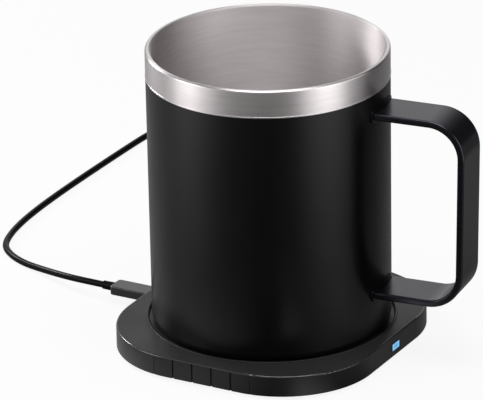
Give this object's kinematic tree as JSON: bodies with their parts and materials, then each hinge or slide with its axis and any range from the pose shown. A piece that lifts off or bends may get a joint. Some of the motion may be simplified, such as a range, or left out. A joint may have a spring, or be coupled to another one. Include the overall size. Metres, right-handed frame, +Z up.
{
  "type": "mug warmer",
  "caption": "Slim rounded USB warming base with a lit push button and plug-in lead, carrying a tall straight double-wall steel mug with a strap handle.",
  "frame": {"origin": "on the table under the middle of the base, at the bottom of its rubber feet", "axes": "+Z up, +X towards the button and the mug's handle, -X towards the plug, -Y towards the grooved front wall"},
  "size_m": [0.2162, 0.2303, 0.1128],
  "materials": {
    "cover_plastic": "fine matte texture, satin edges",
    "floor_plastic": "moulded texture",
    "plate_metal": "black heat-proof coating",
    "silicone": "soft silicone",
    "heater_film": "amber film with etched track",
    "mica": "pressed mica",
    "bright_steel": "pressed plated steel",
    "screw_steel": "plated",
    "component_black": "moulded",
    "lead_wire": "insulated wire",
    "board_laminate": "solder resist",
    "socket_steel": "plated shell",
    "lamp_resin": "clear resin",
    "lit_resin": "milky resin lit blue from behind",
    "foot_rubber": "matte",
    "bare_steel": "brushed round the axis",
    "mug_coating": "satin black coating",
    "base_metal": "turned",
    "handle_coating": "satin black coating",
    "plug_plastic": "fine matte texture",
    "cord_jacket": "smooth jacket",
    "tie_strap": "soft strap",
    "tongue_plastic": "moulded"
  },
  "bodies": {
    "base": {"top_cover": "cover_plastic", "bottom_cover": "floor_plastic", "heating_plate": "plate_metal", "plate_seal": "silicone", "heater_element": "heater_film", "heater_insulator": "mica", "plate_retainer": "bright_steel", "retainer_screws": "screw_steel", "temperature_sensor": "component_black", "sensor_leads": "lead_wire", "heater_leads": "lead_wire", "control_board": "board_laminate", "board_chips": "component_black", "usb_socket": "socket_steel", "usb_socket_tongue": "component_black", "status_led": "lamp_resin", "tact_switch": "component_black", "housing_screws": "screw_steel", "rubber_feet": "foot_rubber"},
    "power_button": {"button_key": "lit_resin", "switch_plunger": "component_black"},
    "mug": {"mug_liner": "bare_steel", "mug_outer_shell": "mug_coating", "mug_base_disc": "base_metal", "mug_handle": "handle_coating"},
    "lead": {"plug_contact_shell": "socket_steel", "plug_overmould": "plug_plastic", "plug_relief": "cord_jacket", "lead_cord": "cord_jacket", "lead_coil": "cord_jacket", "coil_tie": "tie_strap", "usb_a_relief": "cord_jacket", "usb_a_overmould": "plug_plastic", "usb_a_shell": "socket_steel", "usb_a_tongue": "tongue_plastic"}
  },
  "joints": [
    {"name": "mug_lift", "type": "slide", "parent": "base", "child": "mug", "axis": [0, 0, 1], "range_m": [0, 0.12]},
    {"name": "button_press", "type": "slide", "parent": "base", "child": "power_button", "axis": [-1, 0, 0], "range_m": [0, 0.0005], "stiffness_N_per_m": 3000},
    {"name": "lead_pull", "type": "slide", "parent": "base", "child": "lead", "axis": [-1, 0, 0], "range_m": [0, 0.009]}
  ]
}
